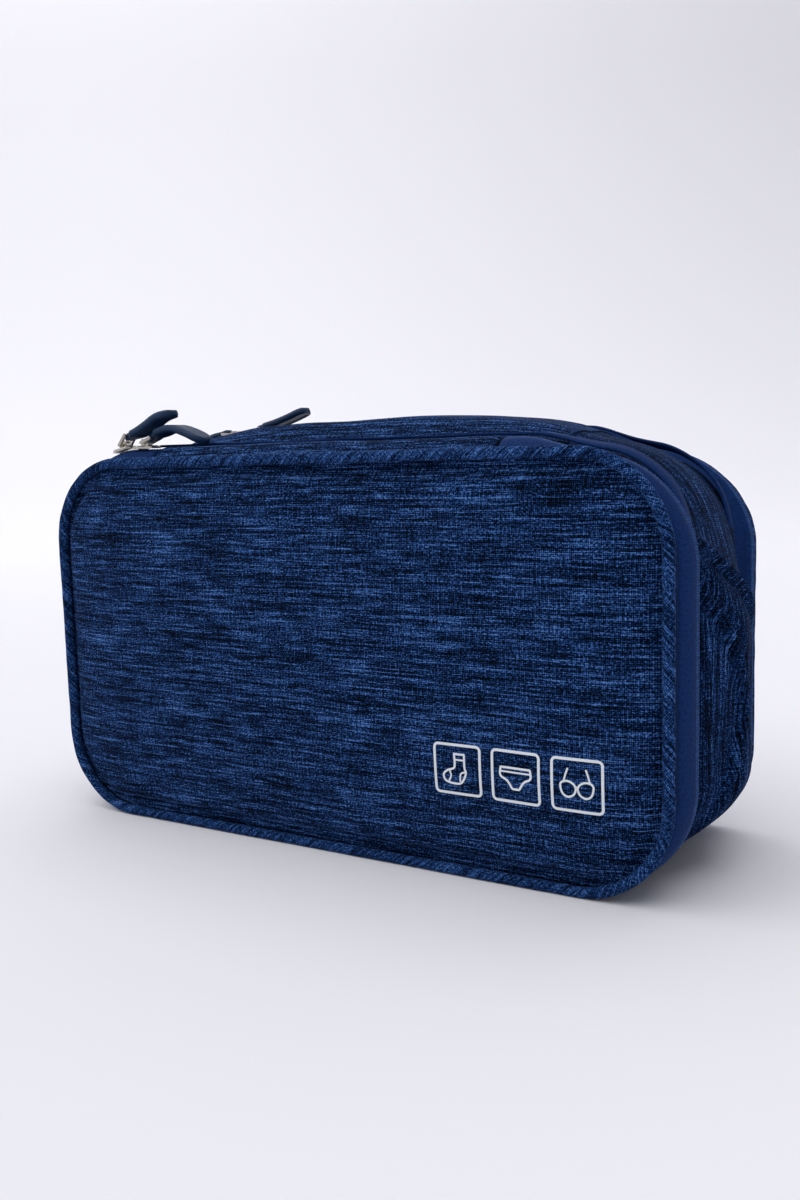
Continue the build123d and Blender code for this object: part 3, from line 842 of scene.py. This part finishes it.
def lid_pad(side):
    """The padded panel of one lid and its lining."""
    x, z = rounded_grid(121, 73, PAD_INSET)
    y = side.sign * (SEAM_Y + lid_face(x, z, side))
    back = side.sign * (SEAM_Y + 0.25 * MM)
    uv = np.stack([x, z], -1)
    faces = [settle(np.stack([x, face, z], -1)) for face in (y, 0 * x + back)]
    pad = pad_piece(f"{side.name}_lid_pad", *faces, uv)
    free = np.concatenate([(edge_distance(x, z) > FREE_FROM).ravel(), np.zeros(x.size, bool)])
    inflate(pad, free, MOST_PUSH)
    fuller = pad.modifiers.new("fuller", "SUBSURF")
    fuller.levels = fuller.render_levels = 1
    finish_piece(pad, cloth, side.body, "melange_cloth", f"{side.name}_lid_panel")
    x, z = rounded_grid(81, 49, LINING_INSET)
    sag = 0.25 * MM * (1 + ripple(x, z, 61, 60 * MM)) * smooth(edge_distance(x, z), 0, 20 * MM)
    outer = side.sign * (SEAM_Y + 0.1 * MM) + 0 * x
    inner = side.sign * (SEAM_Y - 0.5 * MM - sag)
    uv = np.stack([x, z], -1)
    faces = [settle(np.stack([x, face, z], -1)) for face in (outer, inner)]
    lining = pad_piece(f"{side.name}_lid_lining_cloth", *faces, uv)
    finish_piece(lining, lining_cloth, side.body, "lining_cloth", f"{side.name}_lid_lining")


for side in (front, rear):
    lid_pad(side)
print("lids made")

# %% [markdown]
# ## The piping
#
# The piping is a strip of cloth cut on the bias and wrapped round a cord, so that it can bend round the
# corners. A bevelled curve would give a perfect tube. A ring of circles along the seam loop can vary: the cloth
# tightens unevenly along the stitches, so the radius does too. Its slanted weave is what tells it from the lid.


# %% Piping
def piping(side):
    """A swept ring: circles of the piping's radius in the plane across the seam."""
    walk = np.linspace(0, LENGTH, 641)[:-1]
    around = np.linspace(0, 2 * np.pi, 17)[:-1]
    w, a = np.meshgrid(walk, around, indexing="ij")
    tight = 0.035 * ripple(w, 0 * w, 71 + side.sign, 11 * MM) + 0.03 * ripple(w, 0 * w, 73, 60 * MM)
    radius = PIPING * (1.0 + tight)
    x, z, normal = loop(w, -PIPING)
    out, across = radius * np.cos(a), radius * np.sin(a)
    y = side.sign * (SEAM_Y + PIPING_GAP + PIPING + across)
    z = np.maximum(z + out * normal[..., 1], PIPING_GAP)
    points = settle(np.stack([x + out * normal[..., 0], y, z], -1))
    ring = grid_piece(f"{side.name}_piping_cord", points, np.append(walk, LENGTH),
                      np.linspace(0, 2 * np.pi * PIPING, 17), wrap=(True, True))
    finish_piece(ring, bias_cloth, side.body, "melange_cloth", f"{side.name}_piping")


for side in (front, rear):
    piping(side)
print("piping made")

# %% [markdown]
# ## Inside the case
#
# A padded divider splits the case in two. Two partitions make three sock cells behind it. A binding tape
# covers the raw edges where each zipper tape is sewn to the gusset. All this shows only when a lid is open, so
# plain grids with slight waves are enough.


# %% Divider, partitions and bindings
def binding(side):
    """A flat closed ring with a section of 6 by 1 mm over the raw edges."""
    low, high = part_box(f"{side.name}_seam_binding")
    walk = np.linspace(0, LENGTH, 401)[:-1]
    section = np.array([[0, 0], [0, 0.5], [0, 1], [-1, 1], [-1, 0.5], [-1, 0]])
    w, k = np.meshgrid(walk, np.arange(6), indexing="ij")
    out = section[k, 0] * MM + 0.12 * MM * ripple(w, 0 * w, 81, 30 * MM)
    x, z, normal = loop(w, high.x - HALF_WIDTH, high.z - SEAM_TOP, SEAM_BASE - low.z)
    y = low.y + (high.y - low.y) * section[k, 1]
    points = settle(np.stack([x + out * normal[..., 0], y, z + out * normal[..., 1]], -1))
    across = np.array([0, 3, 6, 7, 10, 13, 14]) * MM
    ring = grid_piece(f"{side.name}_binding_tape", points, np.append(walk, LENGTH), across, wrap=(True, True))
    finish_piece(ring, tape_cloth, "case", "lining_cloth", f"{side.name}_seam_binding")


def divider():
    """A thin pad that fills the seam's outline and rises under the crown, with slight waves."""
    low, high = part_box("middle_divider")
    x, z = rounded_grid(121, 73, 0)
    x = x * (high.x - low.x) / (2 * HALF_WIDTH)
    z = low.z + (z - SEAM_BASE) * (SEAM_TOP - low.z) / (SEAM_TOP - SEAM_BASE)
    z = z + smooth(z, SEAM_MIDDLE, SEAM_TOP) * np.maximum(crown(x) - 2.6 * MM, 0)
    wave = 0.5 * MM * ripple(x, z, 91, 80 * MM)
    uv = np.stack([x, z], -1)
    halves = [settle(np.stack([x, wave + half, z], -1)) for half in (-1.1 * MM, 1.1 * MM)]
    pad = pad_piece("divider_pad", *halves, uv)
    finish_piece(pad, lining_cloth, "case", "lining_cloth", "middle_divider")


def partition(name):
    """An upright doubled cloth between two sock cells, a little slack, with a thinner top edge."""
    low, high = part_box(f"cell_partition_{name}")
    across, up = np.linspace(low.y + 0.6 * MM, high.y, 13), np.linspace(low.z, high.z, 41)
    y, z = np.meshgrid(across, up, indexing="ij")
    middle = (low.x + high.x) / 2 + 0.5 * MM * ripple(y, z, 95, 35 * MM)
    half = (high.x - low.x) / 2 * (1 - 0.5 * smooth(z, high.z - 3 * MM, high.z))
    faces = [np.stack([x, y, z], -1) for x in (middle - half, middle + half)]
    sheet = pad_piece(f"partition_{name}_cloth", *faces, np.stack([y, z], -1))
    finish_piece(sheet, lining_cloth, "case", "lining_cloth", f"cell_partition_{name}")


binding(front)
binding(rear)
divider()
partition("left")
partition("right")
print("inside made")

# %% [markdown]
# ## The printed pictograms
#
# Three small squares are screen-printed in white, low on the front lid: a sock, briefs and a bra, each in a
# frame. Screen ink lies in a thin even layer on the cloth. It could be painted in the material, but real ink has
# an edge that catches light. So each line is a flat ribbon, drawn in front of the lid and then laid on it with
# a Shrinkwrap modifier, so that it follows the padding.


# %% Lines of a pictogram
def spline(points, closed=False, steps=12):
    """A smooth line through a few points: Catmull-Rom, evaluated for all segments at once."""
    p = np.asarray(points, float)
    before, after = (p[-1:], p[:2]) if closed else (2 * p[:1] - p[1:2], 2 * p[-1:] - p[-2:-1])
    p = np.concatenate([before, p, after])
    t = np.linspace(0, 1, steps, endpoint=False)[None, :, None]
    a, b, c, d = (p[k:len(p) - 3 + k][:, None] for k in range(4))
    line = 2 * b + (c - a) * t + (2 * a - 5 * b + 4 * c - d) * t ** 2 + (3 * b - a - 3 * c + d) * t ** 3
    line = 0.5 * line.reshape(-1, 2)
    return line if closed else np.concatenate([line, p[-2:-1]])


def ribbon(line, width, closed):
    """Left and right edges of a line of that width, as points (x, z), with a cell for each step."""
    line = np.asarray(line, float)
    if closed:
        along = np.roll(line, -1, 0) - np.roll(line, 1, 0)
    else:
        along = np.gradient(line, axis=0)
    along /= np.linalg.norm(along, axis=1, keepdims=True)
    across = np.stack([-along[:, 1], along[:, 0]], 1) * width / 2
    count = len(line)
    k = np.arange(count if closed else count - 1)
    after = (k + 1) % count
    return np.concatenate([line + across, line - across]), np.stack([k, after, after + count, k + count], 1)


def fine_line(line, closed, step=0.06):
    """The same line with points an even step apart, so that it can follow the cloth."""
    line = np.asarray(line, float)
    line = np.concatenate([line, line[:1]]) if closed else line
    walked = np.concatenate([[0], np.cumsum(np.linalg.norm(np.diff(line, axis=0), axis=1))])
    at = np.linspace(0, walked[-1], max(int(walked[-1] / step), 3) + 1)
    even = np.stack([np.interp(at, walked, line[:, 0]), np.interp(at, walked, line[:, 1])], 1)
    return even[:-1] if closed else even


def lay_print(name, node, lines, width):
    """Joins the ribbons, lays them on the front lid, and gives them a thin layer of ink."""
    low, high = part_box(node)
    centre = np.array([(low.x + high.x) / 2, (low.z + high.z) / 2])
    points, faces, count = [], [], 0
    for line, closed, line_width in lines:
        p, f = ribbon(fine_line(line, closed) * (high.x - low.x) / 2 + centre, line_width * width, closed)
        points.append(p)
        faces.append(f + count)
        count += len(p)
    flat = np.concatenate(points)
    place = np.stack([flat[:, 0], np.full(count, -60 * MM), flat[:, 1]], 1)
    mesh = bpy.data.meshes.new(name)
    mesh.from_pydata(place, [], np.concatenate(faces))
    piece = bpy.data.objects.new(name, mesh)
    bpy.context.scene.collection.objects.link(piece)
    wrap = piece.modifiers.new("lay", "SHRINKWRAP")
    wrap.target = bpy.data.objects["front_lid_pad"]
    wrap.wrap_method = "PROJECT"
    wrap.use_project_y = True
    wrap.use_project_z = False
    wrap.use_positive_direction = True
    wrap.offset = 0.06 * MM
    layer = piece.modifiers.new("ink", "SOLIDIFY")
    layer.thickness = 0.16 * MM
    layer.offset = 0
    graph = bpy.context.evaluated_depsgraph_get()
    laid = bpy.data.meshes.new_from_object(piece.evaluated_get(graph))
    piece.modifiers.clear()
    piece.data = laid
    tidy_mesh(piece)
    finish_piece(piece, ink, "front_lid", "white_print", node)


INK_LINE = 0.95 * MM
bend = np.linspace(0, np.pi / 2, 8)
quarter = 0.80 + 0.155 * np.stack([np.cos(bend), np.sin(bend)], 1)
turns = [np.array([[np.cos(a), np.sin(a)], [-np.sin(a), np.cos(a)]]) for a in np.arange(4) * np.pi / 2]
frame_line = np.concatenate([quarter @ turn for turn in turns])
sock = spline([(-0.30, 0.58), (-0.31, 0.10), (-0.36, -0.12), (-0.16, -0.50), (0.16, -0.56), (0.52, -0.48),
               (0.60, -0.24), (0.42, -0.06), (0.16, 0.04), (0.10, 0.22), (0.12, 0.58)])
flip = np.array([-1, 1])
sock_lines = [(frame_line, True, 1), (sock * flip, False, 0.8),
              (np.array([(-0.33, 0.60), (0.15, 0.60)]) * flip, False, 0.8),
              (np.array([(-0.31, 0.38), (0.12, 0.38)]) * flip, False, 0.65),
              (spline([(-0.34, -0.06), (-0.14, -0.16), (-0.10, -0.46)]) * flip, False, 0.65),
              (spline([(0.34, -0.05), (0.28, -0.26), (0.40, -0.52)]) * flip, False, 0.65)]
waist = np.array([(-0.60, 0.34), (0.60, 0.34)])
briefs = [(frame_line, True, 1), (waist, False, 0.8), (np.array([(-0.60, 0.18), (0.60, 0.18)]), False, 0.6),
          (spline([(-0.60, 0.36), (-0.62, 0.02), (-0.34, -0.16), (-0.14, -0.46)]), False, 0.8),
          (spline([(0.60, 0.36), (0.62, 0.02), (0.34, -0.16), (0.14, -0.46)]), False, 0.8),
          (np.array([(-0.15, -0.46), (0.15, -0.46)]), False, 0.8)]
cup = spline([(-0.62, 0.02), (-0.44, 0.14), (-0.20, 0.10), (-0.04, -0.08), (-0.12, -0.34), (-0.36, -0.44),
              (-0.56, -0.30)], True)
bra = [(frame_line, True, 1), (cup, True, 0.75), (cup * [-1, 1], True, 0.75),
       (spline([(-0.50, 0.12), (-0.42, 0.40), (-0.34, 0.62)]), False, 0.65),
       (spline([(0.50, 0.12), (0.42, 0.40), (0.34, 0.62)]), False, 0.65),
       (np.array([(-0.05, -0.06), (0.05, -0.06)]), False, 0.7)]
lay_print("sock_pictogram", "print_sock", sock_lines, INK_LINE)
lay_print("briefs_pictogram", "print_briefs", briefs, INK_LINE)
lay_print("bra_pictogram", "print_bra", bra, INK_LINE)
print("pictograms printed")

# %% [markdown]
# ## Sliders, bails and pulls
#
# Each slider is a small zinc casting with a crown on its back. A wire bail turns in the crown and holds a
# rubber pull by its neck. The castings and wires keep the CAD model's exact shape and only take on nickel. The
# pulls are moulded flat, but soft PVC takes a set, so each is a strap swept along its own slight curve.


# %% A frame of directions on each slider
joint_at = {joint["name"]: np.array(joint.get("pos_m", (0, 0, 0)), float) for joint in frame["joints"]}


def node_points(node):
    """All corners of a CAD node's mesh as an array."""
    mesh = frame["nodes"][node].data
    co = np.zeros(len(mesh.vertices) * 3)
    mesh.vertices.foreach_get("co", co)
    return co.reshape(-1, 3)


STRAP_GIRTH = 0.03  # metres round a strap, for its map
RIM = 0.86  # from here to the edge, as a share of half the width, the section rounds off
NECK, BODY = 2.3, 5.3  # half the width of a pull at its pin and beyond it, in mm
START_ROUND, END_ROUND = 2.0, 4.6  # lengths over which a pull's two ends round off, in mm
HALF_THICK = 1.45 * MM


def tapered_sheet(name, middle, length_direction, side_direction, half_width, half_thick, dish):
    """A moulded strap: at each step along middle, a section with rounded rims and a dished face.

    The section is a closed loop of points: across it runs over the front face and back under it.
    """
    s = np.linspace(-1, 1, 15)
    rim = np.sqrt(np.clip(1 - (np.clip(np.abs(s) - RIM, 0, 1) / (1 - RIM)) ** 2, 0, 1))
    up = np.cross(side_direction, length_direction)
    up = up / np.linalg.norm(up, axis=-1, keepdims=True)
    sunk = dish[:, None] * (1 - smooth(np.abs(s), 0.60, 0.70))[None, :]
    top = half_thick[:, None] * rim - sunk
    low = -half_thick[:, None] * rim
    across = np.concatenate([s, s[-2:0:-1]])
    height = np.concatenate([top, low[:, -2:0:-1]], 1)
    points = (middle[:, None, :] + half_width[:, None, None] * across[None, :, None] * side_direction
              + height[..., None] * up[:, None, :])
    count = len(across)
    along = np.concatenate([[0], np.cumsum(np.linalg.norm(np.diff(middle, axis=0), axis=1))])
    piece = grid_piece(name, points, along, np.linspace(0, STRAP_GIRTH, count + 1), wrap=(False, True))
    tidy_mesh(piece, fill=True)
    return piece


def pull_piece(name, bend):
    """A rubber pull from its pin outwards. bend is the sideways set at each of five places along it, in mm."""
    pin = joint_at[f"{name}_pull_swing"]
    cloud = node_points(f"{name}_pull")
    flat = cloud[:, [0, 2]] - cloud[:, [0, 2]].mean(0)
    direction = np.linalg.svd(flat, full_matrices=False)[2][0]
    if (cloud[:, [0, 2]].mean(0) - pin[[0, 2]]) @ direction < 0:
        direction = -direction
    ahead = np.array([direction[0], 0, direction[1]])
    up = np.array([-direction[1], 0, direction[0]])
    up = up if up[2] > 0 else -up
    reach = ((cloud - pin) @ ahead).max()
    behind = ((cloud - pin) @ ahead).min()
    t = np.concatenate([np.linspace(0, 0.02, 4), np.linspace(0.04, 0.96, 47), np.linspace(0.975, 1, 6)])
    place = behind + (reach - behind) * t
    set_by = spline(np.stack([np.linspace(0, 1, len(bend)), np.array(bend) * MM], 1), steps=20)
    offset = np.interp(t, set_by[:, 0], set_by[:, 1])
    middle = pin + place[:, None] * ahead + offset[:, None] * up
    along = np.gradient(middle, axis=0)
    along /= np.linalg.norm(along, axis=1, keepdims=True)
    from_start, to_end = (place - behind) / MM, (reach - place) / MM
    half_width = NECK + (BODY - NECK) * smooth(from_start, 3.2, 7.2)
    round_end = BODY * np.sqrt(np.clip(1 - (1 - np.minimum(to_end / END_ROUND, 1)) ** 2, 0.004, 1))
    round_start = NECK * np.sqrt(np.clip(1 - (1 - np.minimum(from_start / START_ROUND, 1)) ** 2, 0.004, 1))
    half_width = np.minimum(half_width, round_end)
    half_width = np.where(from_start < START_ROUND, np.minimum(half_width, round_start), half_width) * MM
    ends = np.minimum(from_start, to_end) / 1.2
    half_thick = HALF_THICK * np.sqrt(np.clip(1 - (1 - np.clip(ends, 0, 1)) ** 2, 0.01, 1))
    dish = 0.5 * MM * smooth(from_start, 7.4, 8.4) * smooth(to_end, 2.0, 3.0)
    piece = tapered_sheet(f"{name}_rubber", middle, along, np.array([0, 1, 0]), half_width, half_thick, dish)
    finish_piece(piece, rubber, f"{name}_pull", "pull_rubber", f"{name}_pull")


pull_piece("front_slider_left", [-0.4, -1.2, -0.8, 0.1, -0.9])
pull_piece("front_slider_right", [0, 1.0, 0.6, -3.4, -9.2])
pull_piece("rear_slider_left", [0, 0.3, 0.6, 0.3, -0.4])
pull_piece("rear_slider_right", [0, -0.3, -0.4, 0.0, 0.8])
sliders = [f"{side.name}_slider_{end}" for side in (front, rear) for end in ("left", "right")]
for part in sliders + [f"{name}_bail" for name in sliders] + ["front_zip_stops", "rear_zip_stops"]:
    skin = frame["nodes"][part].data.materials
    skin.clear()
    skin.append(coil_nylon if "stops" in part else nickel)
print("sliders and pulls made")

# %% [markdown]
# ## The grab tab
#
# The grab tab is a short rubber strap, folded in two and sewn into the seam on the right top corner. A flat
# plate would do from afar, but the fold shows at its rim. So its middle line is a hairpin: out, round a half
# circle, and back under itself, and the same strap function as for the pulls follows it.


# %% Grab tab
def grab_tab(length=17.0, half_gap=1.7):
    """A strap swept along a hairpin that leaves the seam at 14 degrees to the gusset."""
    root = joint_at["grab_tab_flex"] + np.array([-8.5, 0.5, -8.5]) * MM
    bearing, lift = np.radians(50), np.radians(14)
    out = np.array([np.sin(bearing), 0, np.cos(bearing)])
    across = np.array([np.cos(bearing), 0, -np.sin(bearing)])
    ahead = np.array([0, np.cos(lift), 0]) + out * np.sin(lift)
    straight = np.linspace(-1.5, length, 18)
    turn = np.linspace(90, -90, 14)[1:-1]
    a = np.concatenate([straight, length + half_gap * np.cos(np.radians(turn)), straight[::-1]])
    b = np.concatenate([0 * straight + half_gap, half_gap * np.sin(np.radians(turn)), 0 * straight - half_gap])
    b = b * (0.55 + 0.45 * smooth(a, 0, length * 0.7))
    middle = root + (a[:, None] * ahead + b[:, None] * out) * MM
    along = np.gradient(middle, axis=0)
    along /= np.linalg.norm(along, axis=1, keepdims=True)
    size = np.ones(len(a))
    half_width = (BODY - 1.6 * smooth(a, length - 5, length + half_gap)) * MM
    piece = tapered_sheet("grab_tab_rubber", middle, along, across, half_width, 0.8 * MM * size, 0 * size)
    finish_piece(piece, rubber, "grab_tab", "pull_rubber", "grab_tab")


grab_tab()
print("grab tab made")
